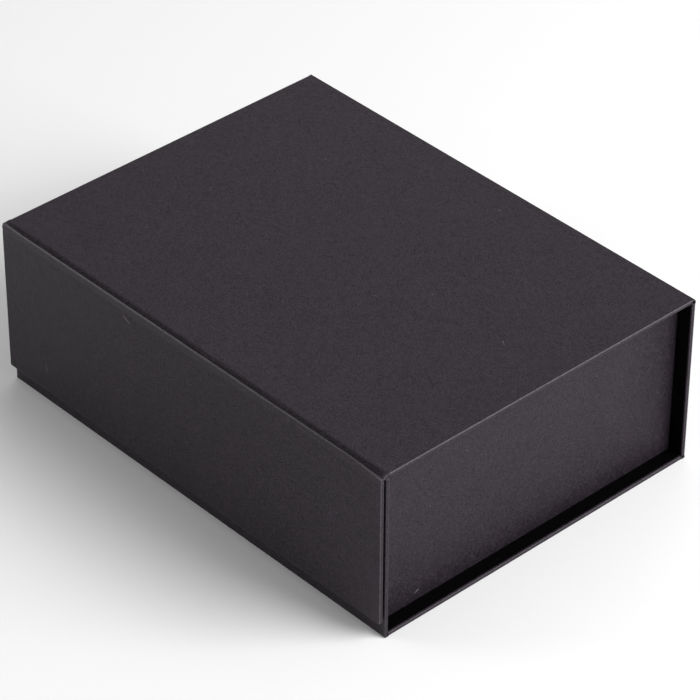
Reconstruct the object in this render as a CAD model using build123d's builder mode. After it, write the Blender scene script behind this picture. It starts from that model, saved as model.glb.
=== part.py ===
# Rigid gift box made of paper-wrapped board: a tray with a hinged lid and a magnetic front flap.
# Millimetres. X runs along the long side, the flap faces -Y, the spine is at +Y and Z points up.
# The origin is the middle of the closed box's footprint, on the table.
from build123d import *
import os

# Driving sizes of the closed box
box_length = 250.0
tray_depth = 185.0
box_height = 88.0

# Thickness of the layers in every panel
board_thickness = 1.7
wrap_thickness = 0.15
liner_thickness = 0.15

# Folds between neighbouring panels, the free paper between upright boards and the folds above and
# below them, the paper turned in over free edges, and the corners of free edges
fold_gap = 1.5
flap_fold_gap = 3.0
lid_fold_room = 2.2
base_fold_room = 1.0
turn_in = 3.0
free_corner_radius = 1.2

# Flap
flap_gap = 1.2
flap_foot = 9.0

# Play between the closed lid and the walls below it
lid_clearance = 0.3

# End walls, set back from the ends of the tray
end_recess = 8.0
tab_width = 20.0
tab_thickness = 1.2
tab_fold_gap = 0.8
tab_tape_thickness = 0.2
tab_tape_width = 12.0
tab_tape_height = 66.0

# Closing magnets, two in the flap and two in the front wall
magnet_diameter = 15.0
magnet_thickness = 1.2
magnet_pocket_clearance = 0.1
magnet_end_distance = 52.0
magnet_above_flap_edge = 15.0

# Places worked out from the sizes above
panel_thickness = wrap_thickness + board_thickness + liner_thickness
box_depth = tray_depth + flap_gap + panel_thickness
flap_face_y = -box_depth / 2
spine_face_y = box_depth / 2
front_wall_face_y = spine_face_y - tray_depth
front_wall_inner_y = front_wall_face_y + panel_thickness
spine_inner_y = spine_face_y - panel_thickness
flap_inner_y = flap_face_y + panel_thickness
lid_front_y = flap_inner_y + flap_fold_gap
lid_back_y = spine_inner_y - fold_gap
base_front_y = front_wall_inner_y + fold_gap
base_back_y = spine_inner_y - fold_gap
fold_under_lid_z = box_height - wrap_thickness
lid_inner_z = box_height - panel_thickness
wall_top_z = lid_inner_z - lid_clearance
magnet_z = flap_foot + magnet_above_flap_edge
magnet_x = box_length / 2 - magnet_end_distance
magnet_radius = magnet_diameter / 2

# Outer faces of the five panels: local x along the box, local z out of the panel
lid_face = Plane(origin=(0, 0, box_height), x_dir=(1, 0, 0), z_dir=(0, 0, 1))
base_face = Plane(origin=(0, 0, 0), x_dir=(-1, 0, 0), z_dir=(0, 0, -1))
flap_face = Plane(origin=(0, flap_face_y, 0), x_dir=(1, 0, 0), z_dir=(0, -1, 0))
front_wall_face = Plane(origin=(0, front_wall_face_y, 0), x_dir=(1, 0, 0), z_dir=(0, -1, 0))
back_wall_face = Plane(origin=(0, spine_face_y, 0), x_dir=(-1, 0, 0), z_dir=(0, 1, 0))

os.makedirs("parts", exist_ok=True)


def save(piece, name):
    """Label one finished piece and write it as a STEP file of the same name."""
    piece.part.label = name
    export_step(piece.part, f"parts/{name}.step")


def span(x_start, x_end, y_start, y_end):
    """Rectangle given by its limits, drawn in the open sketch."""
    with Locations(((x_start + x_end) / 2, (y_start + y_end) / 2)):
        Rectangle(abs(x_end - x_start), abs(y_end - y_start))


def round_free_corners(low_is_free, high_is_free, radius):
    """Round the corners of the open sketch's rectangle at its free edges."""
    rows = vertices().group_by(Axis.Y)
    free_corners = (rows[0] if low_is_free else []) + (rows[-1] if high_is_free else [])
    if free_corners:
        fillet(free_corners, radius)


def panel(
    name,
    face,
    low,
    high,
    low_is_free=False,
    high_is_free=False,
    low_room=0,
    high_room=0,
    pockets=None,
):
    """Board, outer wrap and inner liner of one panel, from local y low to high.

    The wrap covers the outer face, folds over both ends and over each free edge, and turns in
    behind the board. The liner covers the rest of the inner face. A fold edge stays open.
    low_room and high_room are how far the board stops from those edges, where the papers alone bend
    into the base and the lid; at the lid, the liner turns over the board's end.
    pockets is None, "inside" or "outside": the face that the magnet pockets open to.
    """
    board_half = box_length / 2 - wrap_thickness
    wrap_inner_low = low + wrap_thickness if low_is_free else low
    wrap_inner_high = high - wrap_thickness if high_is_free else high
    board_low = wrap_inner_low + low_room
    board_high = wrap_inner_high - high_room
    liner_half = box_length / 2 - turn_in
    liner_low = low + turn_in if low_is_free else low
    liner_high = high - turn_in if high_is_free else high
    board_corner_radius = free_corner_radius - wrap_thickness
    board_outside = face.offset(-wrap_thickness)
    board_inside = face.offset(-wrap_thickness - board_thickness)

    with BuildPart() as board:
        with BuildSketch(board_outside):
            span(-board_half, board_half, board_low, board_high)
            round_free_corners(low_is_free, high_is_free, board_corner_radius)
        extrude(amount=-board_thickness)
        if pockets == "inside":
            with BuildSketch(board_inside):
                with Locations((-magnet_x, magnet_z), (magnet_x, magnet_z)):
                    Circle(magnet_radius + magnet_pocket_clearance)
            extrude(amount=magnet_thickness, mode=Mode.SUBTRACT)
        if pockets == "outside":
            with BuildSketch(board_outside):
                with Locations((-magnet_x, magnet_z), (magnet_x, magnet_z)):
                    Circle(magnet_radius + magnet_pocket_clearance)
            extrude(amount=-magnet_thickness, mode=Mode.SUBTRACT)

    with BuildPart() as wrap:
        with BuildSketch(face):
            span(-box_length / 2, box_length / 2, low, high)
            round_free_corners(low_is_free, high_is_free, free_corner_radius)
        extrude(amount=-panel_thickness)
        with BuildSketch(board_outside):
            span(-board_half, board_half, wrap_inner_low, wrap_inner_high)
            round_free_corners(low_is_free, high_is_free, board_corner_radius)
        extrude(amount=-board_thickness, mode=Mode.SUBTRACT)
        with BuildSketch(board_inside):
            span(-liner_half, liner_half, liner_low, liner_high)
        extrude(amount=-liner_thickness, mode=Mode.SUBTRACT)

    liner_top = board_high + liner_thickness if high_room else liner_high
    with BuildPart() as liner:
        with BuildSketch(board_inside):
            span(-liner_half, liner_half, liner_low, liner_top)
        extrude(amount=-liner_thickness)
        if high_room:
            with BuildSketch(board_outside):
                span(-liner_half, liner_half, board_high, liner_top)
            extrude(amount=-board_thickness - liner_thickness)

    save(board, f"{name}_board")
    save(wrap, f"{name}_wrap")
    save(liner, f"{name}_liner")


def fold_strip(name, outer_z, inward, y_start, y_end, liner_start, liner_end):
    """The two papers that bridge two panels: the wrap runs flat from a panel's edge to the outer
    corner, and the liner is pressed onto it, in the groove between the boards and, at the lid,
    above the end of the board below.

    outer_z is the wrap's outer face, and inward is +1 where the box's inside lies above it, -1 below.
    """
    with BuildPart() as strip:
        with BuildSketch(Plane.XY.offset(outer_z)):
            span(-box_length / 2, box_length / 2, y_start, y_end)
        extrude(amount=inward * wrap_thickness)
        with BuildSketch(Plane.XY.offset(outer_z + inward * wrap_thickness)):
            span(turn_in - box_length / 2, box_length / 2 - turn_in, liner_start, liner_end)
        extrude(amount=inward * liner_thickness)
    save(strip, name)


def magnet(name, x, base_plane, amount):
    """Disc magnet lying on the floor of its pocket."""
    with BuildPart() as disc:
        with BuildSketch(base_plane):
            with Locations((x, magnet_z)):
                Circle(magnet_radius)
        extrude(amount=amount)
    save(disc, name)


def end_wall(side_name, side):
    """One end wall with its two corner tabs; side is +1 at +X and -1 at -X.

    In plan the wrap and the liner are shallow U shapes: across the end board and back along
    the tabs, which are taped to the front and back walls.
    """
    outer_x = side * (box_length / 2 - end_recess)
    board_x = outer_x - side * wrap_thickness
    board_inner_x = board_x - side * board_thickness
    liner_inner_x = board_inner_x - side * liner_thickness
    tab_start_x = board_inner_x - side * tab_fold_gap
    tab_end_x = tab_start_x - side * tab_width
    tape_middle_x = (tab_start_x + tab_end_x) / 2
    front_y = front_wall_inner_y + tab_tape_thickness
    back_y = spine_inner_y - tab_tape_thickness
    board_front_y = front_y + wrap_thickness
    board_back_y = back_y - wrap_thickness
    tab_front_y = board_front_y + tab_thickness
    tab_back_y = board_back_y - tab_thickness
    board_top_z = wall_top_z - wrap_thickness
    floor_z = panel_thickness

    with BuildPart() as board:
        with BuildSketch(Plane.XY.offset(floor_z)):
            span(board_x, board_inner_x, board_front_y, board_back_y)
        extrude(amount=board_top_z - floor_z)
    save(board, f"{side_name}_end_board")

    with BuildPart() as front_tab:
        with BuildSketch(Plane.XY.offset(floor_z)):
            span(tab_start_x, tab_end_x, board_front_y, tab_front_y)
        extrude(amount=board_top_z - floor_z)
    save(front_tab, f"{side_name}_front_tab")

    with BuildPart() as back_tab:
        with BuildSketch(Plane.XY.offset(floor_z)):
            span(tab_start_x, tab_end_x, tab_back_y, board_back_y)
        extrude(amount=board_top_z - floor_z)
    save(back_tab, f"{side_name}_back_tab")

    with BuildPart() as wrap:
        with BuildSketch(Plane.XY.offset(floor_z)):
            span(outer_x, tab_end_x, front_y, back_y)
        extrude(amount=wall_top_z - floor_z)
        with BuildSketch(Plane.XY.offset(floor_z)):
            span(board_x, tab_end_x, board_front_y, board_back_y)
        extrude(amount=board_top_z - floor_z, mode=Mode.SUBTRACT)
        with BuildSketch(Plane.XY.offset(floor_z)):
            span(board_inner_x, tab_end_x, tab_front_y, tab_back_y)
        extrude(amount=wall_top_z - floor_z, mode=Mode.SUBTRACT)
    save(wrap, f"{side_name}_end_wrap")

    with BuildPart() as liner:
        with BuildSketch(Plane.XY.offset(floor_z)):
            span(board_inner_x, tab_end_x, tab_front_y, tab_back_y)
        extrude(amount=board_top_z - floor_z)
        with BuildSketch(Plane.XY.offset(floor_z)):
            span(liner_inner_x, tab_end_x, tab_front_y + liner_thickness, tab_back_y - liner_thickness)
        extrude(amount=board_top_z - floor_z, mode=Mode.SUBTRACT)
    save(liner, f"{side_name}_end_liner")

    tape_plane = Plane.XY.offset((floor_z + wall_top_z - tab_tape_height) / 2)
    tape_start_x = tape_middle_x - tab_tape_width / 2
    tape_end_x = tape_middle_x + tab_tape_width / 2
    with BuildPart() as front_tape:
        with BuildSketch(tape_plane):
            span(tape_start_x, tape_end_x, front_wall_inner_y, front_y)
        extrude(amount=tab_tape_height)
    save(front_tape, f"{side_name}_front_tape")

    with BuildPart() as back_tape:
        with BuildSketch(tape_plane):
            span(tape_start_x, tape_end_x, back_y, spine_inner_y)
        extrude(amount=tab_tape_height)
    save(back_tape, f"{side_name}_back_tape")


# The five panels of the casing
panel("base", base_face, base_front_y, base_back_y)
panel(
    "front_wall",
    front_wall_face,
    wrap_thickness,
    wall_top_z,
    high_is_free=True,
    low_room=base_fold_room,
    pockets="outside",
)
panel(
    "back_wall",
    back_wall_face,
    wrap_thickness,
    fold_under_lid_z,
    low_room=base_fold_room,
    high_room=lid_fold_room,
)
panel("lid", lid_face, lid_front_y, lid_back_y)
panel(
    "flap",
    flap_face,
    flap_foot,
    fold_under_lid_z,
    low_is_free=True,
    high_room=lid_fold_room,
    pockets="inside",
)

# The four folds that join them
fold_strip("base_front_fold", 0, 1, front_wall_face_y, base_front_y, front_wall_inner_y, base_front_y)
fold_strip("base_back_fold", 0, 1, base_back_y, spine_face_y, base_back_y, spine_inner_y)
spine_board_y = spine_face_y - wrap_thickness
flap_board_y = flap_face_y + wrap_thickness
fold_strip("lid_hinge_strip", box_height, -1, lid_back_y, spine_face_y, lid_back_y, spine_board_y)
fold_strip("flap_hinge_strip", box_height, -1, flap_face_y, lid_front_y, flap_board_y, lid_front_y)

# The two end walls
end_wall("left", -1)
end_wall("right", 1)

# The closing magnets: flap magnets lie towards the front wall, wall magnets towards the flap
flap_pocket_floor = flap_face.offset(-wrap_thickness - board_thickness + magnet_thickness)
wall_pocket_floor = front_wall_face.offset(-wrap_thickness - magnet_thickness)
for side_name, side in (("left", -1), ("right", 1)):
    magnet(f"{side_name}_flap_magnet", side * magnet_x, flap_pocket_floor, -magnet_thickness)
    magnet(f"{side_name}_wall_magnet", side * magnet_x, wall_pocket_floor, magnet_thickness)
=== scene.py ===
# The looks of a rigid gift box of black paper over board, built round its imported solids.
# Metres. X runs along the long side, the flap faces -Y, the spine is at +Y and Z points up.
import math
import bmesh
import bpy
import numpy as np
from mathutils import Matrix, Vector


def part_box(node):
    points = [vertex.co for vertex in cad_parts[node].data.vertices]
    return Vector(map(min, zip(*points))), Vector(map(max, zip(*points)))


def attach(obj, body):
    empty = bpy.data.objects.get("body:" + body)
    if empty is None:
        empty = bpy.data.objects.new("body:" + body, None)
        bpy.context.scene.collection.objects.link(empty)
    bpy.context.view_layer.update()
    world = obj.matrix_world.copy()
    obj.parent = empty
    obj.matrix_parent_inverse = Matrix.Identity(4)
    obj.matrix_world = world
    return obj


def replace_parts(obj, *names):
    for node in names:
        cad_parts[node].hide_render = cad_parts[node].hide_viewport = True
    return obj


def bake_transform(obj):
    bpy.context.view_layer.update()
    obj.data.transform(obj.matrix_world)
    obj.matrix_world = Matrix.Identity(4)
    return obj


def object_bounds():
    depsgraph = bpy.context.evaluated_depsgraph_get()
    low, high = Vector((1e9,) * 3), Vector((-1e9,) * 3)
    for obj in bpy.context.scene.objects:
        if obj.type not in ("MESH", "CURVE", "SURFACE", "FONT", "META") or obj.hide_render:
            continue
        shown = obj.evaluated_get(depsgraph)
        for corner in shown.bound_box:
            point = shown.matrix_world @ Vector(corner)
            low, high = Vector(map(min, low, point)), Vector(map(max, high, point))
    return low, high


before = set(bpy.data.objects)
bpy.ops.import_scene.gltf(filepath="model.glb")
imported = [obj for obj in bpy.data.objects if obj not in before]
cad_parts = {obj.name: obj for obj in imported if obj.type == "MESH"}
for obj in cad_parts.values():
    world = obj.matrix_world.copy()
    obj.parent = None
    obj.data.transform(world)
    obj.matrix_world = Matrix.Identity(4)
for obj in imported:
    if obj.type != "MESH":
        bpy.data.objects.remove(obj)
cad_low, cad_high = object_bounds()
mm = 0.001

# Camera, placed by the corners of the box in the photograph
photo_width = 700
camera_azimuth = math.radians(47.246)
camera_elevation = math.radians(36.282)
camera_roll = math.radians(0.253)
camera_distance = 1663.4 * mm
camera_right = 2.76 * mm
camera_up = -4.18 * mm
focal_length_pixels = 3698.8

# Places read from the imported parts
half_length = cad_high.x
lid_top = cad_high.z
lid_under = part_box("lid_wrap")[0].z
lid_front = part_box("lid_wrap")[0].y
lid_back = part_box("lid_wrap")[1].y
flap_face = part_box("flap_wrap")[0].y
flap_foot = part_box("flap_wrap")[0].z
upright_board_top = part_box("flap_board")[1].z
wall_board_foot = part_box("front_wall_board")[0].z
spine_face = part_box("back_wall_wrap")[1].y
front_wall_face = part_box("front_wall_wrap")[0].y
front_wall_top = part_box("front_wall_wrap")[1].z
panel_depth = lid_top - lid_under
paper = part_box("lid_liner")[1].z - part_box("lid_liner")[0].z
wall_gap = 0.2 * mm
base_front = front_wall_face + panel_depth + wall_gap
base_back = spine_face - panel_depth - wall_gap
lid_paper_back = base_back
lining_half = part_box("lid_liner")[1].x
turn_in = half_length - lining_half
fold_height = lid_top - (upright_board_top + paper)
end_wall_low = {side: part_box(f"{side}_end_wrap")[0] for side in ("left", "right")}
end_wall_high = {side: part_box(f"{side}_end_wrap")[1] for side in ("left", "right")}
end_wall_face = end_wall_high["right"].x

# Roundings that the paper takes over the boards
edge_radius = 0.8 * mm
board_edge_radius = edge_radius - paper
free_corner_radius = 1.2 * mm
fold_thickness = 0.6 * mm
lining_rise = 0.05 * mm
lining_overlap = 2.5 * mm
lining_reach = half_length - free_corner_radius
calm_length = 12 * mm

# The soft bend of the paper where the lid meets the flap and the spine
ridge_width = 1.6 * mm
ridge_turn = math.radians(65)
ridge_drop = 0.12 * mm
crease_dip = 0.75 * mm
crease_lowest = 0.22
spine_dip = 0.14 * mm
spine_lowest = 0.4
crease_droop = 1.1 * mm
crease_droop_length = 24 * mm
crease_fade_length = 16 * mm
flap_lean = 0.12 * mm
flap_lean_length = 5 * mm

# Rubbed edges with painted highlight: the tilt that counts in full, the bend of a cut rim, and distances
# from the flap's ridge for its painted highlight and painted crease shade
wear_and_highlight_tilt = 0.27
rim_bend = 4
ridge_highlight_inside = 0.55 * mm
ridge_highlight_outside = 1.2 * mm
ridge_highlight_reach = 5 * mm
crease_shade_start = 0.3 * mm
crease_shade_rise = 0.7 * mm
crease_shade_stop = 2.2 * mm
crease_shade_fade = 1.8 * mm
crease_shade_side_fade = 1.2 * mm

# The bend of the paper under the walls
foot_width = 0.8 * mm
foot_dip = 0.1 * mm
foot_lowest = 0.5

# End walls: the inner corners in plan, and the tabs' thinner board
end_inner_corner_radius = 0.5 * mm
tab_edge_radius = 0.45 * mm
tab_end_roll = 0.35 * mm
tab_end_share = 0.98

# How finely the sheets are divided, and how near their points merge
length_steps = 72
arc_steps = 8
run_step = 4.0 * mm
merge_distance = 2e-6
sliver_length = 5e-7


def smooth(x):
    """Rises from 0 to 1 with level ends: three x squared less two x cubed."""
    x = np.clip(x, 0, 1)
    return x * x * (3 - 2 * x)


def quarter(steps=arc_steps):
    """Angles from 0 to a right angle."""
    return np.linspace(0, math.pi / 2, steps + 1)


def run(start, end, step=run_step):
    """Evenly spaced numbers from start to end, about a step apart."""
    return np.linspace(start, end, max(2, int(math.ceil(abs(end - start) / step)) + 1))


# Meshes

def grid_faces(rows, columns, start):
    """Corner numbers of the quads between the points of a grid that is stored row by row."""
    index = start + np.arange(rows * columns).reshape(rows, columns)
    corners = [index[:-1, :-1], index[1:, :-1], index[1:, 1:], index[:-1, 1:]]
    return np.stack(corners, axis=-1).reshape(-1, 4)


def grid(x, y, z):
    """Points of a grid from their places along each axis. One row or column counts for them all."""
    return np.stack(np.broadcast_arrays(x, y, z), axis=-1)


def by_row(values):
    """The values stood in a column, one for each row of a grid."""
    return np.reshape(np.asarray(values, float), (-1, 1))


def joined_mesh(name, patches):
    """Mesh of several point grids, merged where they meet. The face of a grid looks along the
    product of its row step and its column step."""
    points, faces, start = [], [], 0
    for patch in patches:
        rows, columns = patch.shape[:2]
        points.append(patch.reshape(-1, 3))
        faces.append(grid_faces(rows, columns, start))
        start += rows * columns
    mesh = bpy.data.meshes.new(name)
    mesh.from_pydata(np.concatenate(points).tolist(), [], np.concatenate(faces).tolist())
    merged = bmesh.new()
    merged.from_mesh(mesh)
    bmesh.ops.remove_doubles(merged, verts=merged.verts, dist=merge_distance)
    bmesh.ops.dissolve_degenerate(merged, edges=merged.edges, dist=sliver_length)
    merged.to_mesh(mesh)
    merged.free()
    return mesh


def linked(name, mesh):
    """Object at the origin that shows the mesh."""
    piece = bpy.data.objects.new(name, mesh)
    bpy.context.scene.collection.objects.link(piece)
    return piece


def applied(piece):
    """The piece with its modifiers turned into mesh."""
    graph = bpy.context.evaluated_depsgraph_get()
    graph.update()
    mesh = bpy.data.meshes.new_from_object(piece.evaluated_get(graph))
    piece.modifiers.clear()
    old = piece.data
    piece.data = mesh
    bpy.data.meshes.remove(old)
    mesh.name = piece.name
    return piece


def numbers(collection, key, width, kind=np.float32):
    """The named values of a mesh's vertices or edges as an array with that many columns."""
    values = np.zeros(len(collection) * width, kind)
    collection.foreach_get(key, values)
    return values.reshape(-1, width)


def mark_wear_and_painted_highlight(mesh, wear_and_highlight_share):
    """Vertex value that is the share of rubbed paper and painted highlight where the sheet bends outward
    as tightly as over a board's edge, and 0 at its cut rims. Along each edge of the mesh the bend is
    twice the drop along the normal over the squared length of the edge. It counts most halfway between
    two sides, on the roundings, where hands rub the paper and where the painted highlight stands for the
    lamps' glint."""
    points = numbers(mesh.vertices, "co", 3).astype(float)
    normals = numbers(mesh.vertices, "normal", 3).astype(float)
    ends = numbers(mesh.edges, "vertices", 2, np.int32)
    bend = np.zeros(len(points))
    for near, far in ((0, 1), (1, 0)):
        step = points[ends[:, near]] - points[ends[:, far]]
        squared = np.maximum((step * step).sum(1), 1e-12)
        along = 2 * (step * normals[ends[:, near]]).sum(1) / squared
        np.maximum.at(bend, ends[:, near], along)
    bend = bend * edge_radius
    share = np.where(bend > rim_bend, 0, np.clip(bend, 0, 1))
    share = share * wear_and_highlight_share * smooth((1 - np.abs(normals).max(1)) / wear_and_highlight_tilt)
    mesh.attributes.new("wear_and_painted_light", "FLOAT", "POINT").data.foreach_set("value", share.astype(np.float32))


def finished(piece, finish, sharp_angle=38, wear_and_highlight_share=0.5):
    """The piece with smooth shading between its sharp edges, its wear and painted highlight marked and
    its finish on.
    """
    piece.data.shade_smooth()
    piece.data.set_sharp_from_angle(angle=math.radians(sharp_angle))
    mark_wear_and_painted_highlight(piece.data, wear_and_highlight_share)
    piece.data.materials.clear()
    piece.data.materials.append(finish)
    return piece


def sheet(name, patches, finish, wear_and_highlight_share=0.5):
    """A sheet of paper: the patches are its outer face, and its thickness lies behind them."""
    piece = linked(name, joined_mesh(name, patches))
    solid = piece.modifiers.new("thickness", "SOLIDIFY")
    solid.thickness = paper
    solid.offset = -1
    solid.use_even_offset = False
    solid.use_quality_normals = True
    return finished(applied(piece), finish, wear_and_highlight_share=wear_and_highlight_share)


# The section of a wrapped panel, from the turned-in paper at one end to that at the other

def end_profile():
    """Inset from the panel's end and share of its depth, along the paper that goes over that end:
    flat, quarter round, straight down the end, quarter round, and flat to the cut of the turn-in."""
    angles = quarter()
    round_in = edge_radius * (1 - np.sin(angles))
    round_down = edge_radius * (1 - np.cos(angles))
    inset = [[free_corner_radius], round_in, round_in[::-1], [free_corner_radius, 2 * mm, turn_in]]
    depth = [[0], round_down, panel_depth - round_down[::-1], [panel_depth] * 3]
    return np.concatenate(inset), np.concatenate(depth) / panel_depth


end_inset, end_level = end_profile()


def panel_columns():
    """Place along X and share of the depth of every column across a wrapped panel."""
    middle = np.linspace(-1, 1, length_steps + 1)[1:-1] * (half_length - free_corner_radius)
    x = np.concatenate([-(half_length - end_inset[::-1]), middle, half_length - end_inset])
    level = np.concatenate([end_level[::-1], np.zeros(len(middle)), end_level])
    return x, level


column_x, column_level = panel_columns()


def hairpin_columns():
    """Place along X and depth of the paper across a fold, with its ends folded back beneath it."""
    radius = fold_thickness / 2
    turn = np.linspace(0, math.pi, 7)
    inset = np.concatenate([radius * (1 - np.sin(turn)), [turn_in / 2, turn_in]])
    depth = np.concatenate([radius * (1 - np.cos(turn)), [fold_thickness, fold_thickness]])
    middle = np.linspace(-1, 1, length_steps + 1)[1:-1] * (half_length - radius)
    x = np.concatenate([-(half_length - inset[::-1]), middle, half_length - inset])
    return x, np.concatenate([depth[::-1], np.zeros(len(middle)), depth])


def board_end(start, direction):
    """Places over a board's rounded end and the panel's depth there: a quarter ellipse from the
    board's shoulder to one paper past its end, where only the folded paper is left."""
    angles = quarter(6)
    place = start + direction * (edge_radius * np.sin(angles) - board_edge_radius)
    return place, fold_thickness + (panel_depth - fold_thickness) * np.cos(angles)


def swept(y, z, inward_y, inward_z, depth):
    """Grid of a wrapped panel: each row is the path's point, moved inward by the column's share of
    the depth there, and each column keeps its place along X."""
    inward = by_row(depth) * column_level
    return grid(column_x, by_row(y) + inward_y * inward, by_row(z) + inward_z * inward)


def free_edge(face_y, edge_z, toward, calm_z):
    """Two grids for an upright panel's free edge at the front: the columns run on to a mitre, and
    the end profile is carried round one corner, along the edge and round the other corner.

    toward is +1 where the free edge is the top one. calm_z is where the columns start."""
    column_inset = np.maximum(free_corner_radius, half_length - np.abs(column_x))
    column_inset = np.where(column_level > 0, column_inset, free_corner_radius)
    share = by_row(np.linspace(0, 1, 5))
    flat_z = (edge_z - toward * column_inset) * (1 - share) + calm_z * share
    flat = grid(column_x, face_y + panel_depth * column_level, flat_z)
    centre = np.maximum(free_corner_radius, end_inset)
    round_off = np.maximum(free_corner_radius - end_inset, 0)
    turn = by_row(quarter())
    corner_x = -(half_length - centre) - round_off * np.cos(turn)
    corner_in = centre - round_off * np.sin(turn)
    edge_x = by_row(np.linspace(-1, 1, length_steps + 1)[1:-1]) * (half_length - centre)
    edge_in = np.tile(end_inset, (length_steps - 1, 1))
    band_x = np.concatenate([corner_x, edge_x, -corner_x[::-1]])
    band_z = edge_z - toward * np.concatenate([corner_in, edge_in, corner_in[::-1]])
    band = grid(band_x, face_y + panel_depth * end_level, band_z)
    return [flat, band] if toward > 0 else [flat[::-1], band[::-1]]


# The folds between the panels, seen from the box's end

def near_end(x):
    """0 at the left end of the crease, rising to 1 a short way along it."""
    return smooth((x + half_length) / crease_fade_length)


def sag(x):
    """0 along the crease, rising to 1 at its right end."""
    return smooth((x - half_length + crease_droop_length) / crease_droop_length)


def ripple(x, long, short, shift):
    """Two sines along X: the long one, shifted, times 0.6, and the short one times 0.4."""
    return np.sin(x / long + shift) * 0.6 + np.sin(x / short) * 0.4


def crease_drop(x):
    """How far the ridge at the flap lies below the lid: a little, gently waved, and more at its
    right end."""
    wave = ripple(x, 6.8 * mm, 2.9 * mm, 1)
    return ridge_drop * (1 + 0.5 * wave) * near_end(x) + crease_droop * sag(x)


def crease_depth(x):
    """Depth of the valley between ridge and lid at the flap, shallow at the left end."""
    wave = ripple(x, 9.3 * mm, 3.7 * mm, 2)
    return crease_dip * (0.25 + 0.75 * near_end(x)) * (1 + 0.12 * wave) * (1 - 0.4 * sag(x))


def constant(value):
    """Function that gives the same value all along X."""
    return lambda x: np.full(len(x), value)


spine_drop = constant(ridge_drop)
spine_depth = constant(spine_dip)
foot_drop = constant(0.0)
foot_depth = constant(foot_dip)


def lean(down):
    """How far the flap's face leans in towards its crease: a parabola carried on as a straight line."""
    reach = np.clip((fold_height + flap_lean_length - down) / flap_lean_length, 0, 1)
    past = np.maximum(fold_height - down, 0) / flap_lean_length
    return flap_lean * (reach * reach + 2 * past)


def valley(share, drop, dip, lowest):
    """How far the paper lies below the flat panel, from the ridge at 0 to the panel at 1. It falls
    smoothly to its lowest place, then rises as the square of the way that is left."""
    fall = smooth(share / lowest)
    rise = (1 - np.clip((share - lowest) / (1 - lowest), 0, 1)) ** 2
    return drop * (1 - smooth(share)) + dip * fall * rise


def fold_curve(width, height, gap, drop, dip, lowest, leaning=False):
    """Distance in from the outer upright face and in from the outer flat face, along the paper from
    the upright panel, and the angle by which its inner side faces down at each row. The paper is the
    first part of a quarter ellipse up to the ridge, and a valley from there to the flat panel. drop
    and dip hold one value for each column."""
    drop, dip = np.asarray(drop)[None, :], np.asarray(dip)[None, :]
    angles = np.linspace(0, ridge_turn, 15)[:, None]
    ridge_in = width * (1 - np.cos(angles)) + 0 * drop
    ridge_down = drop + (height - drop) * (1 - np.sin(angles) / math.sin(ridge_turn))
    if leaning:
        ridge_in = ridge_in + lean(ridge_down) * np.cos(angles)
    share = np.linspace(0, 1, 25)[1:, None]
    valley_in = ridge_in[-1] + (gap - ridge_in[-1]) * share
    facing = np.arctan2(np.sin(angles) / height, np.cos(angles) / width)
    down = facing[-1] + (math.pi / 2 - facing[-1]) * smooth(share * 2)
    ridge_down = np.concatenate([ridge_down, valley(share, drop, dip, lowest)])
    return np.concatenate([ridge_in, valley_in]), ridge_down, np.concatenate([facing, down])


def beneath(across, down, facing, depth):
    """The fold's curve moved by the depth towards its inner side."""
    return across + np.cos(facing) * depth, down + np.sin(facing) * depth


def fold_points(side, face_y, face_z, toward, across, down, x):
    """Grid from distances in from the upright face and the flat face. side is +1 at the spine, and
    toward is +1 at the lid. Rows run the way round the box that makes the faces look outward."""
    points = grid(x, face_y - side * across, face_z - toward * down)
    return points if side == toward else points[::-1]


def fold_paper(side, face_y, face_z, toward, width, height, gap, drop, dip, lowest, leaning=False):
    """Grid of the outer paper over one fold, with its ends folded back. drop and dip are functions
    of the place along X."""
    x, depth = hairpin_columns()
    across, down, facing = fold_curve(width, height, gap, drop(x), dip(x), lowest, leaning)
    across, down = beneath(across, down, facing, depth[None, :])
    return fold_points(side, face_y, face_z, toward, across, down, x)


def lid_fold_lining(side, face_y, gap, board_gap, drop, dip, lowest):
    """Grid of the lining in a fold at the lid: down the upright panel's inner face, over the inner
    edge of its board, under the outer paper, and round the end of the lid's board to the lid's
    underside. gap is where the outer paper reaches the lid, and board_gap is where its board starts."""
    x = np.linspace(-1, 1, length_steps + 1) * lining_reach
    bend = edge_radius + lining_rise
    inner = panel_depth + lining_rise
    over_board = fold_height - lining_rise
    angles = quarter(6)
    round_in = bend * (1 - np.cos(angles))
    round_down = bend * (1 - np.sin(angles))
    upright_across = np.concatenate([[inner], inner - round_in])
    upright_down = np.concatenate([[fold_height + lining_overlap], over_board + round_down])
    share = np.linspace(0, 1, 21)[1:-1, None]
    across = inner - bend + (gap - inner + bend) * share + 0 * x[None, :]
    ridge_in = ridge_width * (1 - math.cos(ridge_turn))
    under = valley((across - ridge_in) / (gap - ridge_in), drop(x)[None, :], dip(x)[None, :], lowest)
    under = under + fold_thickness + lining_rise
    down = over_board + (under - over_board) * smooth(share * 1.6)
    past_end = board_gap - paper - lining_rise
    lid_across = np.concatenate([[past_end], past_end + round_in, [board_gap + lining_overlap]])
    lid_down = np.concatenate([[fold_thickness + bend / 2], inner - round_down, [inner]])
    across = np.concatenate([spread(upright_across, x), across, spread(lid_across, x)])
    down = np.concatenate([spread(upright_down, x), down, spread(lid_down, x)])
    return fold_points(side, face_y, lid_top, 1, across, down, x)[::-1]


def spread(values, x):
    """The same row value for every column."""
    return np.asarray(values, float)[:, None] + 0 * x[None, :]


# Blocks whose outline is carried through their thickness: boards and magnets

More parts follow.
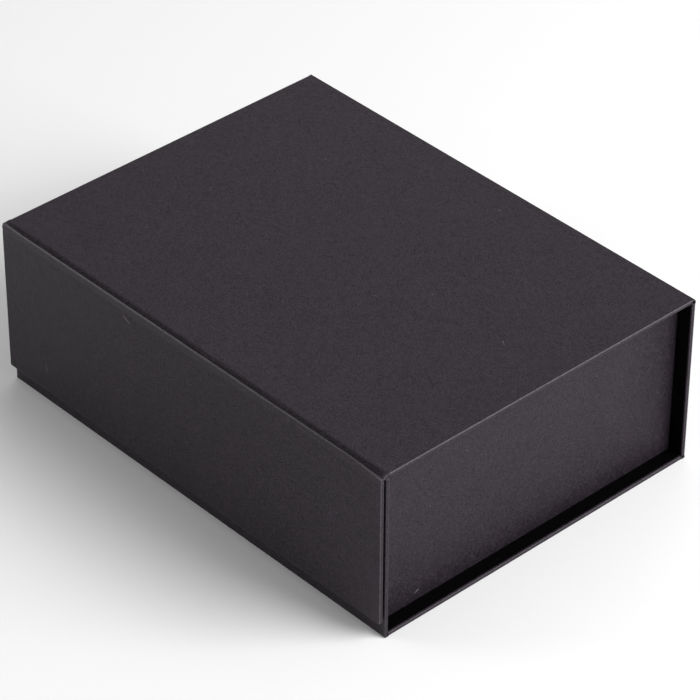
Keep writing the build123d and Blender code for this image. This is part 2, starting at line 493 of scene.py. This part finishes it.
def rounded_outline(half_a, half_b, radius):
    """Function from an inset to the loop of a rectangle with rounded corners, drawn in by it."""
    turn = np.concatenate([quarter(6) + corner * math.pi / 2 for corner in range(4)])
    sign_a = np.repeat([1, -1, -1, 1], 7)
    sign_b = np.repeat([1, 1, -1, -1], 7)

    def loop(inset):
        a = sign_a * (half_a - radius) + (radius - inset) * np.cos(turn)
        b = sign_b * (half_b - radius) + (radius - inset) * np.sin(turn)
        return a, b

    return loop


def round_outline(radius):
    """Function from an inset to a circle drawn in by it."""
    turn = np.linspace(0, 2 * math.pi, 64, endpoint=False)
    return lambda inset: ((radius - inset) * np.cos(turn), (radius - inset) * np.sin(turn))


def block_mesh(name, outline, low, high, thin, edge):
    """Closed block between two corners: loops of the outline, drawn in by a quarter round at both
    faces, stacked along the thin axis, with one flat face at each end."""
    angles = quarter(4)
    round_in = edge * (1 - np.sin(angles))
    round_up = edge * (1 - np.cos(angles))
    inset = np.concatenate([round_in, round_in[::-1]])
    rise = np.concatenate([round_up, (high - low)[thin] - round_up[::-1]])
    axes = [(thin + 1) % 3, (thin + 2) % 3]
    loops = [outline(step) for step in inset]
    count = len(loops[0][0])
    points = np.empty((len(loops), count, 3))
    points[..., axes[0]] = (low + high)[axes[0]] / 2 + np.array([a for a, b in loops])
    points[..., axes[1]] = (low + high)[axes[1]] / 2 + np.array([b for a, b in loops])
    points[..., thin] = low[thin] + rise[:, None]
    index = np.arange(len(loops) * count).reshape(len(loops), count)
    following = np.roll(index, -1, axis=1)
    corners = [index[:-1], following[:-1], following[1:], index[1:]]
    faces = np.stack(corners, axis=-1).reshape(-1, 4).tolist()
    faces += [index[0, ::-1].tolist(), index[-1].tolist()]
    mesh = bpy.data.meshes.new(name)
    mesh.from_pydata(points.reshape(-1, 3).tolist(), [], faces)
    return mesh


def node_corners(node):
    """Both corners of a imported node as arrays."""
    low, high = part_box(node)
    return np.array(low), np.array(high)


def board(name, node, thin, finish, magnets=(), edge=board_edge_radius):
    """A board of a panel, its edges pressed round by the wrap, with a pocket for each magnet."""
    low, high = node_corners(node)
    half = (high - low) / 2
    corner = free_corner_radius - paper
    outline = rounded_outline(half[(thin + 1) % 3], half[(thin + 2) % 3], corner)
    piece = linked(name, block_mesh(name, outline, low, high, thin, edge))
    for magnet in magnets:
        cut(piece, magnet, thin)
    return finished(piece, finish)


def cut(piece, magnet, thin):
    """Takes the magnet's pocket out of the board, through the face that the magnet lies nearer to."""
    board_low, board_high = bounds_of(piece)
    low, high = node_corners(magnet)
    clearance = 0.1 * mm
    radius = (high - low)[(thin + 1) % 3] / 2 + clearance
    past = 0.5 * mm
    if board_high[thin] - high[thin] < low[thin] - board_low[thin]:
        high[thin] += past
    else:
        low[thin] -= past
    cutter = linked("pocket", block_mesh("pocket", round_outline(radius), low, high, thin, 0.0001 * mm))
    hole = piece.modifiers.new("pocket", "BOOLEAN")
    hole.operation = "DIFFERENCE"
    hole.object = cutter
    applied(piece)
    bpy.data.objects.remove(cutter)


def bounds_of(piece):
    """Lowest and highest corner of a piece's own mesh."""
    points = numbers(piece.data.vertices, "co", 3)
    return points.min(0).astype(float), points.max(0).astype(float)


# Node materials

class Number:
    """A number that varies over a surface. Arithmetic with it adds the nodes that work it out."""

    def __init__(self, finish, socket):
        self.finish = finish
        self.socket = socket

    def work(self, operation, *values, clamp=False):
        """Math node of the values."""
        settings = {"operation": operation, "use_clamp": clamp}
        made = self.finish.node("ShaderNodeMath", settings, dict(enumerate(values)))
        return Number(self.finish, made.outputs[0])

    def __add__(self, other):
        return self.work("ADD", self, other)

    def __sub__(self, other):
        return self.work("SUBTRACT", self, other)

    def __rsub__(self, other):
        return self.work("SUBTRACT", other, self)

    def __mul__(self, other):
        return self.work("MULTIPLY", self, other)

    def __abs__(self):
        return self.work("ABSOLUTE", self)

    def clamped(self):
        """The number kept from 0 to 1."""
        return self.work("ADD", self, 0.0, clamp=True)

    def between(self, low, high):
        """0 below low, 1 above high, and a smooth rise between them."""
        inputs = {"Value": self, "From Min": low, "From Max": high}
        made = self.finish.node("ShaderNodeMapRange", {"interpolation_type": "SMOOTHSTEP"}, inputs)
        return Number(self.finish, made.outputs[0])

    __radd__ = __add__
    __rmul__ = __mul__


class Finish:
    """One material, built from nodes."""

    def __init__(self, name):
        self.material = bpy.data.materials.new(name)
        self.material.use_nodes = True
        self.tree = self.material.node_tree
        self.tree.nodes.clear()

    def node(self, kind, settings=None, inputs=None):
        """New node with its settings, and the values or links of its sockets."""
        made = self.tree.nodes.new(kind)
        for key, value in (settings or {}).items():
            setattr(made, key, value)
        for key, value in (inputs or {}).items():
            value = value.socket if isinstance(value, Number) else value
            if isinstance(value, bpy.types.NodeSocket):
                self.tree.links.new(value, made.inputs[key])
            else:
                made.inputs[key].default_value = value
        return made

    def place(self, stretch=(1, 1, 1)):
        """Place on the object in millimetres, stretched."""
        at = self.node("ShaderNodeTexCoord").outputs["Object"]
        scale = [share / mm for share in stretch]
        return self.node("ShaderNodeMapping", {}, {"Vector": at, "Scale": scale}).outputs[0]

    def noise(self, place, scale, detail=2.0, roughness=0.5, distortion=0.0):
        """Soft random number around 0.5, with scale features to the millimetre."""
        inputs = {"Vector": place, "Scale": scale, "Detail": detail}
        inputs.update({"Roughness": roughness, "Distortion": distortion})
        return Number(self, self.node("ShaderNodeTexNoise", {}, inputs).outputs[0])

    def cells(self, place, scale):
        """Distance to the nearest of scattered points, with scale points to the millimetre."""
        made = self.node("ShaderNodeTexVoronoi", {"feature": "F1"}, {"Vector": place, "Scale": scale})
        return Number(self, made.outputs["Distance"])

    def attribute(self, name):
        """Value that the mesh holds at its vertices."""
        return Number(self, self.node("ShaderNodeAttribute", {"attribute_name": name}).outputs["Fac"])

    def vector(self, operation, *vectors):
        """Vector Math node of the vectors."""
        return self.node("ShaderNodeVectorMath", {"operation": operation}, dict(enumerate(vectors)))

    def streak(self, centre, direction, length, width):
        """1 along a short straight mark, fading at its ends and sides. Sizes are in millimetres."""
        away = self.vector("SUBTRACT", self.place(), centre).outputs[0]
        along = self.vector("DOT_PRODUCT", away, direction)
        aside = self.vector("CROSS_PRODUCT", away, direction).outputs[0]
        aside = self.vector("LENGTH", aside)
        ends = abs(Number(self, along.outputs["Value"])).between(length * 0.25, length * 0.5)
        sides = Number(self, aside.outputs["Value"]).between(width * 0.2, width)
        return (1.0 - ends) * (1.0 - sides)

    def mix(self, share, first, second):
        """Colour between two colours."""
        inputs = {0: share, 6: first, 7: second}
        return self.node("ShaderNodeMix", {"data_type": "RGBA"}, inputs).outputs[2]

    def shade(self, colour, share):
        """The colour multiplied by a number."""
        grey = self.node("ShaderNodeCombineColor", {}, {0: share, 1: share, 2: share}).outputs[0]
        settings = {"data_type": "RGBA", "blend_type": "MULTIPLY"}
        return self.node("ShaderNodeMix", settings, {0: 1.0, 6: colour, 7: grey}).outputs[2]

    def surface(self, **inputs):
        """The shader, with its sockets named by words joined with underscores."""
        sockets = {key.replace("_", " "): value for key, value in inputs.items()}
        shader = self.node("ShaderNodeBsdfPrincipled", {}, sockets)
        out = self.node("ShaderNodeOutputMaterial")
        self.tree.links.new(shader.outputs[0], out.inputs[0])
        return self.material

    def bump(self, height, distance):
        """Surface direction from a height, where a height of 1 stands the distance proud."""
        inputs = {"Height": height, "Distance": distance, "Strength": 1.0}
        return self.node("ShaderNodeBump", {}, inputs).outputs[0]


def colour(red, green, blue):
    """Opaque colour."""
    return (red, green, blue, 1.0)


# Small scuffs, two on the flap and one on the right end wall: centre, direction along the face,
# length and half width, in millimetres
scuffs = (
    ((-37.5, flap_face / mm, 81), (0.93, 0, -0.37), 7.0, 0.5),
    ((-97.4, flap_face / mm, 22), (0, 0, 1), 6.0, 0.35),
    ((end_wall_face / mm, -65, 6.7), (0, 0.9, 0.43), 3.5, 0.6),
)


def black_paper(name, dark, worn_and_painted_light, roughness, tint, gloss, painted_shade_past_walls=1.0):
    """Dyed black paper: cloudy dye, felted fibres both ways, pale flecks, and edges rubbed to grey
    where the sheet bends over a board, which also paint a highlight there and along the flap's ridge.
    Where the wear value falls below 0, in the crease behind that ridge, the colour gets painted shade.
    The last argument is the share of its colour left beyond the end walls, painted shade in the recess."""
    finish = Finish(name)
    even = finish.place()
    cloud = finish.noise(even, 0.06, 3.0, 0.6)
    patch = finish.noise(even, 0.3, 2.0, 0.55)
    grain = finish.noise(even, 1.4, 3.0, 0.8)
    along = finish.noise(finish.place((0.4, 0.4, 1.2)), 1.5, 2.0, 0.6, 0.4)
    across = finish.noise(finish.place((1.2, 1.2, 0.4)), 1.5, 2.0, 0.6, 0.4)
    strand = abs(finish.noise(even, 0.5, 2.0, 0.5, 1.2) - 0.5)
    strand = 1.0 - strand.between(0.0, 0.03)
    tooth = finish.noise(even, 2.6, 2.0, 0.6)
    fleck = (1.0 - finish.cells(even, 0.11).between(0.02, 0.045)) * patch.between(0.5, 0.62)
    tone = 0.5 + (cloud - 0.5) * 0.3 + (patch - 0.5) * 0.2 + (grain - 0.5) * 2.1
    tone = tone + (along - 0.5) * 0.9 + (across - 0.5) * 0.9 + (tooth - 0.5) * 1.2 + strand * 0.1
    # Painted shade: beyond the end walls, in the recess, the tone falls to the given share.
    if painted_shade_past_walls < 1:
        apart = finish.node("ShaderNodeSeparateXYZ", {}, {0: even})
        away = abs(Number(finish, apart.outputs[0])).between(end_wall_face / mm - 0.6, end_wall_face / mm)
        tone = tone * (1.0 - away * (1.0 - painted_shade_past_walls))
    wear_and_painted_light = finish.attribute("wear_and_painted_light")
    # Painted shade in the crease behind the flap's ridge, where the value is below 0; the same mask makes
    # the paper there a little smoother
    painted_crease_shade = (wear_and_painted_light * -1.0).clamped()
    base = finish.shade(colour(*dark), (tone * (1.0 - painted_crease_shade * 0.55)).clamped())
    # Rubbed edges and painted highlight on the roundings and along the flap's ridge
    edge_wear_and_highlight = wear_and_painted_light.clamped() * (grain.between(0.35, 0.6) * 0.4 + 0.6)
    pale = edge_wear_and_highlight * 0.65 + fleck * 0.7
    for scuff in scuffs:
        pale = pale + finish.streak(*scuff) * grain.between(0.35, 0.55) * 0.6
    pale = pale.clamped()
    shown = finish.mix(pale, base, colour(*worn_and_painted_light))
    height = cloud * 1.5 + patch * 0.5 + grain * 1.2 + tooth * 0.4
    height = height + along * 0.3 + across * 0.4 + strand * 0.2
    rough = roughness + (grain - 0.5) * 0.35 + (cloud - 0.5) * 0.15 + (along - 0.5) * 0.15
    rough = (rough - painted_crease_shade * 0.14).clamped()
    return finish.surface(
        Base_Color=shown,
        Roughness=rough,
        Normal=finish.bump(height, 0.2 * mm),
        Specular_IOR_Level=gloss,
        Specular_Tint=colour(*tint),
    )


def greyboard(name):
    """Pulped grey board: warm grey, blurred clots, dark and pale fibres."""
    finish = Finish(name)
    even = finish.place()
    clot = finish.noise(even, 0.25, 4.0, 0.6)
    grain = finish.noise(even, 2.2, 4.0, 0.7)
    fibre = abs(finish.noise(even, 0.8, 3.0, 0.5, 1.5) - 0.5)
    fibre = 1.0 - fibre.between(0.0, 0.04)
    tone = 1.0 + (clot - 0.5) * 0.5 + (grain - 0.5) * 0.7
    base = finish.shade(colour(0.27, 0.245, 0.21), tone)
    shown = finish.mix(fibre * 0.35, base, colour(0.12, 0.10, 0.09))
    return finish.surface(
        Base_Color=shown,
        Roughness=(0.88 + (grain - 0.5) * 0.15).clamped(),
        Normal=finish.bump(grain + fibre * 0.4, 0.06 * mm),
    )


def nickel(name):
    """Bright nickel plating over a pressed disc: fine turning scratches and dull spots."""
    finish = Finish(name)
    even = finish.place()
    spots = finish.noise(even, 0.9, 3.0, 0.6)
    scratch = finish.noise(finish.place((9.0, 1.0, 0.4)), 1.0, 2.0, 0.6)
    base = finish.shade(colour(0.66, 0.63, 0.57), 0.9 + (spots - 0.5) * 0.35)
    return finish.surface(
        Base_Color=base,
        Metallic=1.0,
        Roughness=(0.24 + (spots - 0.5) * 0.2 + (scratch - 0.5) * 0.1).clamped(),
        Normal=finish.bump(scratch, 0.004 * mm),
    )


def tape(name):
    """Double-sided tissue tape: milky glue with trapped air and the weave of its tissue."""
    finish = Finish(name)
    even = finish.place()
    air = finish.noise(even, 0.7, 4.0, 0.65)
    tissue = finish.noise(finish.place((0.5, 0.5, 3.0)), 1.0, 2.0, 0.6)
    base = finish.mix(air.between(0.35, 0.65), colour(0.62, 0.60, 0.54), colour(0.78, 0.77, 0.73))
    return finish.surface(
        Base_Color=base,
        Roughness=(0.42 + (air - 0.5) * 0.3).clamped(),
        Normal=finish.bump(air + tissue * 0.4, 0.02 * mm),
    )


# Dyed colour, colour of worn edges and painted highlight, roughness and tint of the two papers
wrap_look = ((0.0398, 0.0303, 0.0410), (0.20, 0.19, 0.20), 0.40, (0.96, 0.84, 1.0))
lining_look = ((0.026, 0.0225, 0.0255), (0.05, 0.046, 0.046), 0.5, (0.95, 0.88, 1.0))
outer_paper = black_paper("black wrap paper", *wrap_look, 0.2)
inner_paper = black_paper("black lining paper", *lining_look, 0.10)
# Tray lining with painted shade in the recess beyond the end walls
tray_paper_with_painted_recess_shade = black_paper("black tray lining paper with painted recess shade", *lining_look, 0.05, 0.05)
board_finish = greyboard("grey board")
magnet_finish = nickel("nickel plate")
tape_finish = tape("tissue tape")


# The outer paper

def panel_run(start, end, way):
    """Places along a board from one rounded end to the other, and the panel's depth at each. way
    is +1 where the end lies higher than the start."""
    start_place, end_depth = board_end(start, -way)
    end_place = board_end(end, way)[0]
    middle = run(start_place[0], end_place[0])[1:-1]
    place = np.concatenate([start_place[::-1], middle, end_place])
    depth = np.concatenate([end_depth[::-1], np.full(len(middle), panel_depth), end_depth])
    return place, depth


def lid_cover():
    """The panel section carried from the spine over the lid to the flap, pinched at both board ends."""
    y, depth = panel_run(lid_paper_back, lid_front, -1)
    return [swept(y, lid_top, 0, -1, depth)]


def flap_cover():
    """The panel section carried down the flap, which leans in near its crease, and its free edge."""
    top_z, top_depth = board_end(upright_board_top, 1)
    calm_z = flap_foot + calm_length
    leaning_z = run(top_z[0], upright_board_top - flap_lean_length, 0.8 * mm)
    z = np.concatenate([top_z[::-1], leaning_z[1:], run(top_z[0], calm_z)[2:]])
    depth = np.concatenate([top_depth[::-1], np.full(len(z) - len(top_z), panel_depth)])
    face = swept(flap_face + lean(lid_top - z), z, 1, 0, depth)
    return [face] + free_edge(flap_face, flap_foot, -1, calm_z)


def tray_cover():
    """One sheet under the tray: front wall, fold, base, fold, back wall."""
    foot_z, end_depth = board_end(wall_board_foot, -1)
    calm_z = front_wall_top - calm_length
    front_z = np.concatenate([run(calm_z, foot_z[0])[:-1], foot_z])
    front_depth = np.concatenate([np.full(len(front_z) - len(foot_z), panel_depth), end_depth])
    base_y, base_depth = panel_run(base_front, base_back, 1)
    back_z, back_depth = panel_run(wall_board_foot, upright_board_top, 1)
    shape = (foot_drop, foot_depth, foot_lowest)
    front_gap = base_y[0] - front_wall_face
    back_gap = spine_face - base_y[-1]
    return free_edge(front_wall_face, front_wall_top, 1, calm_z) + [
        swept(front_wall_face, front_z, 1, 0, front_depth),
        fold_paper(-1, front_wall_face, 0.0, -1, foot_width, foot_z[-1], front_gap, *shape),
        swept(base_y, 0.0, 0, 1, base_depth),
        fold_paper(1, spine_face, 0.0, -1, foot_width, foot_z[-1], back_gap, *shape),
        swept(spine_face, back_z, -1, 0, back_depth),
    ]


def paint_ridge_highlight_and_crease_shade(piece):
    """Raises the wear value along the ridge at the flap as a painted highlight, partly rubbed paper: full
    on it, soon gone on the valley's side, and faint some way down the flap. It eases towards the right
    end. In the valley the value falls below 0, which paints shade into the crease and also stands for
    paper that the folding has smoothed."""
    x, y, z = numbers(piece.data.vertices, "co", 3).astype(float).T
    ridge_y = flap_face + ridge_width * (1 - math.cos(ridge_turn))
    away = np.hypot(y - ridge_y, z - (lid_top - crease_drop(x)))
    inside = y - ridge_y
    values = piece.data.attributes["wear_and_painted_light"].data
    worn_and_painted_light = numbers(values, "value", 1)[:, 0]
    line = 1 - smooth(away / np.where(inside > 0, ridge_highlight_inside, ridge_highlight_outside))
    glow = (inside <= 0) * (1 - smooth(away / ridge_highlight_reach))
    # Painted highlight: a line on the ridge and a faint glow down the flap, brighter towards the left end
    share = (line * 0.75 + glow * 0.25) * (0.95 - 0.4 * x / half_length)
    # Painted shade in the valley behind the ridge
    painted_crease_shade = smooth((inside - crease_shade_start) / crease_shade_rise)
    painted_crease_shade = painted_crease_shade * (1 - smooth((inside - crease_shade_stop) / crease_shade_fade))
    painted_crease_shade = painted_crease_shade * smooth((half_length - np.abs(x)) / crease_shade_side_fade - 0.3)
    worn_and_painted_light = np.clip(np.maximum(worn_and_painted_light, share), 0, 1) - painted_crease_shade
    values.foreach_set("value", worn_and_painted_light.astype(np.float32))


flap_gap = lid_front - flap_face
flap_fold_reach = flap_gap - paper
spine_gap = spine_face - lid_back
spine_fold_reach = spine_face - lid_paper_back - paper
lid_piece = sheet("lid_cover", lid_cover(), outer_paper, 1.0)
flap_piece = sheet("flap_cover", flap_cover(), outer_paper, 0.8)
tray_piece = sheet("tray_cover", tray_cover(), outer_paper)
flap_fold = sheet(
    "flap_fold_paper",
    [fold_paper(-1, flap_face, lid_top, 1, ridge_width, fold_height, flap_fold_reach,
                crease_drop, crease_depth, crease_lowest, leaning=True)],
    outer_paper,
    1.0,
)
paint_ridge_highlight_and_crease_shade(flap_fold)
paint_ridge_highlight_and_crease_shade(flap_piece)
spine_fold = sheet(
    "spine_fold_paper",
    [fold_paper(1, spine_face, lid_top, 1, ridge_width, fold_height, spine_fold_reach,
                spine_drop, spine_depth, spine_lowest)],
    outer_paper,
)


# The lining

def lining_grid(y, z):
    """Grid across the lining's width from places along its path."""
    x = np.linspace(-1, 1, length_steps + 1) * lining_reach
    return grid(x, by_row(y), by_row(z))


def tray_lining():
    """Down the front wall, over the base and up the back wall: straight runs, with a quarter round
    at each corner."""
    bend = board_edge_radius
    angles = quarter(6)
    round_in = bend * (1 - np.cos(angles))
    round_up = bend * (1 - np.sin(angles))
    floor = panel_depth + lining_rise
    front_y = front_wall_face + panel_depth + lining_rise
    back_y = spine_face - panel_depth - lining_rise
    front_z = run(front_wall_top - free_corner_radius, floor + bend)
    back_z = run(floor + bend, upright_board_top - lining_overlap)
    middle_y = run(front_y + bend, back_y - bend)
    y = np.concatenate([
        np.full(len(front_z) - 1, front_y),
        front_y + round_in,
        middle_y[1:-1],
        back_y - round_in[::-1],
        np.full(len(back_z) - 1, back_y),
    ])
    z = np.concatenate([
        front_z[:-1],
        floor + round_up,
        np.full(len(middle_y) - 2, floor),
        floor + round_up[::-1],
        back_z[1:],
    ])
    return lining_grid(y, z)[::-1]


def lid_lining():
    """Flat sheet under the lid, over the edges of its fold linings."""
    y = run(lid_back - lining_overlap, lid_front + lining_overlap)
    return lining_grid(y, lid_under - lining_rise)[::-1]


def flap_lining():
    """Flat sheet behind the flap, from its fold lining to just above its foot."""
    z = run(upright_board_top - lining_overlap, flap_foot + free_corner_radius)
    return lining_grid(flap_face + panel_depth + lining_rise, z)[::-1]


lid_lining_piece = sheet("lid_lining", [lid_lining()], inner_paper)
flap_lining_piece = sheet("flap_lining", [flap_lining()], inner_paper)
tray_lining_piece = sheet("tray_lining", [tray_lining()], tray_paper_with_painted_recess_shade)
flap_fold_lining = sheet(
    "flap_fold_lining",
    [lid_fold_lining(-1, flap_face, flap_fold_reach, flap_gap, crease_drop, crease_depth, crease_lowest)],
    inner_paper,
)
spine_fold_lining = sheet(
    "spine_fold_lining",
    [lid_fold_lining(1, spine_face, spine_fold_reach, spine_gap, spine_drop, spine_depth, spine_lowest)],
    inner_paper,
)


# The end walls

def end_lines(side):
    """Two matching lines in plan round an end wall, outer and inner, from the front tab's end to
    the back tab's: straight runs, with quarter rounds at the two corners."""
    low, high = end_wall_low[side], end_wall_high[side]
    sign = 1 if side == "right" else -1
    outer_x = sign * max(abs(low.x), abs(high.x))
    tab_x = sign * min(abs(low.x), abs(high.x))
    tab_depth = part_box(f"{side}_end_liner")[0].y - low.y + paper
    inner_x = outer_x - sign * panel_depth
    turn = quarter()
    tab_places = np.linspace(0, 1, 6)
    wall_places = np.linspace(0, 1, 46)

    def line(corner_x, front_y, back_y, radius):
        near = corner_x - sign * radius
        tab = tab_x + (near - tab_x) * tab_places
        arc_x = near + sign * radius * np.sin(turn)
        wall_y = front_y + radius + (back_y - front_y - 2 * radius) * wall_places
        wall_x = np.full(len(wall_y) - 2, corner_x)
        x = np.concatenate([tab[:-1], arc_x, wall_x, arc_x[::-1], tab[::-1][1:]])
        front_arc = front_y + radius * (1 - np.cos(turn))
        back_arc = back_y - radius * (1 - np.cos(turn[::-1]))
        y = np.concatenate([
            np.full(len(tab) - 1, front_y),
            front_arc,
            wall_y[1:-1],
            back_arc,
            np.full(len(tab) - 1, back_y),
        ])
        return x, y

    outer = line(outer_x, low.y, high.y, edge_radius)
    inner = line(inner_x, low.y + tab_depth, high.y - tab_depth, end_inner_corner_radius)
    return sign, np.array(outer), np.array(inner)


def end_cover(side):
    """Paper over an end wall and its tabs: up the outer face, rolled over the top, and down the
    inner face to the cut of the turn-in. At the tabs' ends the two faces roll together."""
    sign, outer, inner = end_lines(side)
    top = end_wall_high[side].z
    foot = end_wall_low[side].z + lining_rise
    angles = quarter()
    round_in = edge_radius / panel_depth * (1 - np.cos(angles))
    round_down = edge_radius * (1 - np.sin(angles))
    up = run(foot, top - edge_radius)
    level = np.concatenate([
        np.zeros(len(up) - 1),
        round_in,
        1 - round_in[::-1],
        [1],
    ])
    z = np.concatenate([
        up[:-1],
        top - round_down,
        top - round_down[::-1],
        [top - turn_in],
    ])
    face_line = closed_line(outer, inner, sign)
    inner_line = closed_line(inner, outer, sign)
    x, y = face_line[:, :, None] * (1 - level) + inner_line[:, :, None] * level
    points = grid(x, y, z)
    return points if sign > 0 else points[::-1]


def closed_line(own, other, sign):
    """A line in plan round an end wall with both tabs' ends rolled over towards the other line."""
    first = rolled_end(own[:, 0], other[:, 0], sign)
    last = rolled_end(own[:, -1], other[:, -1], sign)
    return np.concatenate([first[:, ::-1], own, last], 1)


def rolled_end(own, other, sign):
    """Points in plan from a tab's end line to its middle: a quarter ellipse."""
    angles = quarter(4)[1:]
    middle = (own + other) / 2
    x = own[0] - sign * tab_end_roll * np.sin(angles)
    y = middle[1] + (own[1] - middle[1]) * np.cos(angles) * tab_end_share
    return np.array([x, y])


def end_lining(side):
    """Lining of an end wall and its tabs, from the floor to just under the turned-in paper. At the
    tabs' ends it rolls over to meet the outer paper."""
    sign, outer, inner = end_lines(side)
    top = end_wall_high[side].z - turn_in
    z = run(top, end_wall_low[side].z + lining_rise)
    toward = outer - inner
    length = np.hypot(*toward)
    line = closed_line(inner - toward / length * lining_rise, outer, sign)
    points = grid(by_row(line[0]), by_row(line[1]), z)
    return points if sign > 0 else points[::-1]


for side in ("left", "right"):
    cover = sheet(f"{side}_end_cover", [end_cover(side)], outer_paper, 0.3)
    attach(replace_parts(cover, f"{side}_end_wrap"), "tray")
    lining = sheet(f"{side}_end_lining", [end_lining(side)], inner_paper)
    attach(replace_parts(lining, f"{side}_end_liner"), "tray")


# What rides on what

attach(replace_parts(lid_piece, "lid_wrap"), "lid")
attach(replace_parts(flap_piece, "flap_wrap"), "flap")
tray_nodes = ["front_wall_wrap", "base_front_fold", "base_wrap", "base_back_fold", "back_wall_wrap"]
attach(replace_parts(tray_piece, *tray_nodes), "tray")
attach(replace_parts(lid_lining_piece, "lid_liner"), "lid")
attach(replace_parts(flap_lining_piece, "flap_liner"), "flap")
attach(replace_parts(tray_lining_piece, "front_wall_liner", "base_liner", "back_wall_liner"), "tray")
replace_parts(flap_fold, "flap_hinge_strip")
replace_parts(spine_fold, "lid_hinge_strip")

# The fold papers and their linings get their placement baked into their meshes
for piece in (flap_fold, flap_fold_lining):
    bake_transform(piece)
for piece in (spine_fold, spine_fold_lining):
    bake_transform(piece)

# Boards with their pockets, magnets and tapes
board_rows = (
    ("lid", 2, "lid", ()),
    ("base", 2, "tray", ()),
    ("back_wall", 1, "tray", ()),
    ("front_wall", 1, "tray", ("left_wall_magnet", "right_wall_magnet")),
    ("flap", 1, "flap", ("left_flap_magnet", "right_flap_magnet")),
)
for panel, thin, body, magnets in board_rows:
    core = board(f"{panel}_core", f"{panel}_board", thin, board_finish, magnets)
    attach(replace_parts(core, f"{panel}_board"), body)


def tape_strip(name, node):
    """Strip of tape between a tab and the wall, with its corners cut round."""
    low, high = node_corners(node)
    half = (high - low) / 2
    outline = rounded_outline(half[2], half[0], 0.5 * mm)
    return linked(name, block_mesh(name, outline, low, high, 1, 0.01 * mm))


def magnet_disc(name, node):
    """Magnet: a disc with small rounded edges."""
    low, high = node_corners(node)
    outline = round_outline((high - low)[0] / 2)
    return linked(name, block_mesh(name, outline, low, high, 1, 0.2 * mm))


for side in ("left", "right"):
    core = board(f"{side}_end_core", f"{side}_end_board", 0, board_finish)
    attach(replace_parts(core, f"{side}_end_board"), "tray")
    for place in ("front", "back"):
        tab = f"{side}_{place}_tab"
        core = board(f"{tab}_core", tab, 1, board_finish, edge=tab_edge_radius)
        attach(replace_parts(core, f"{side}_{place}_tab"), "tray")
        strip = tape_strip(f"{side}_{place}_tape_strip", f"{side}_{place}_tape")
        finished(strip, tape_finish)
        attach(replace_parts(strip, f"{side}_{place}_tape"), "tray")
    for node, body in ((f"{side}_flap_magnet", "flap"), (f"{side}_wall_magnet", "tray")):
        disc = finished(magnet_disc(node.replace("magnet", "disc"), node), magnet_finish, 50)
        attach(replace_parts(disc, node), body)


# Camera

def place_camera():
    """Camera whose back direction, roll and side shifts put the box where the photograph has it."""
    right = np.array([math.cos(camera_azimuth), math.sin(camera_azimuth), 0])
    outward = np.array([math.sin(camera_azimuth), -math.cos(camera_azimuth), 0])
    back = outward * math.cos(camera_elevation) + np.array([0, 0, math.sin(camera_elevation)])
    up = np.cross(back, right)
    rolled_right = math.cos(camera_roll) * right + math.sin(camera_roll) * up
    rolled_up = math.cos(camera_roll) * up - math.sin(camera_roll) * right
    target = np.array([0, 0, lid_top / 2])
    at = target + back * camera_distance + rolled_right * camera_right + rolled_up * camera_up
    data = bpy.data.cameras.new("camera")
    data.lens = focal_length_pixels * data.sensor_width / photo_width
    data.clip_start, data.clip_end = 0.05, 50
    camera = bpy.data.objects.new("camera", data)
    matrix = Matrix.Identity(4)
    for column, axis in enumerate((rolled_right, rolled_up, back)):
        matrix.col[column] = Vector((*axis, 0))
    matrix.col[3] = Vector((*at, 1))
    camera.matrix_world = matrix
    bpy.context.scene.collection.objects.link(camera)
    bpy.context.scene.camera = camera


place_camera()


# Studio: pale floor, white surroundings and soft lamps

def soft_lamp(name, direction, distance, size, radiance):
    """Square lamp that looks at the box from the direction, as bright as a surface of that radiance."""
    data = bpy.data.lights.new(name, "AREA")
    data.size = size
    data.energy = radiance * math.pi * size * size
    lamp = bpy.data.objects.new(name, data)
    bpy.context.scene.collection.objects.link(lamp)
    toward = Vector(direction).normalized()
    lamp.location = Vector((0, 0, lid_top / 2)) + toward * distance
    lamp.rotation_mode = "QUATERNION"
    lamp.rotation_quaternion = (-toward).to_track_quat("-Z", "Y")


soft_lamp("lamp_right", (0.72, 0.34, 0.60), 1.7, 1.1, 8.8)
soft_lamp("lamp_left", (-0.6, -0.63, 0.48), 1.4, 0.5, 3.5)
soft_lamp("lamp_back", (-0.55, 0.62, 0.56), 1.2, 0.8, 0.75)


def studio():
    """Pale matt floor in an evenly white room."""
    floor_mesh = bpy.data.meshes.new("floor")
    reach = 4.0
    corners = [(-reach, -reach, 0), (reach, -reach, 0), (reach, reach, 0), (-reach, reach, 0)]
    floor_mesh.from_pydata(corners, [], [(0, 1, 2, 3)])
    floor = linked("floor", floor_mesh)
    finish = Finish("pale floor")
    tone = finish.noise(finish.place(), 0.01, 2.0)
    base = finish.mix(tone, colour(0.94, 0.94, 0.94), colour(0.95, 0.95, 0.95))
    surface = finish.surface(Base_Color=base, Roughness=0.9, Specular_IOR_Level=0.1)
    floor_mesh.materials.append(surface)
    world = bpy.data.worlds.new("white room")
    bpy.context.scene.world = world
    world.use_nodes = True
    world.node_tree.nodes["Background"].inputs[0].default_value = colour(1, 1, 1)
    world.node_tree.nodes["Background"].inputs[1].default_value = 0.35


studio()
bpy.context.scene.view_settings.view_transform = "Standard"
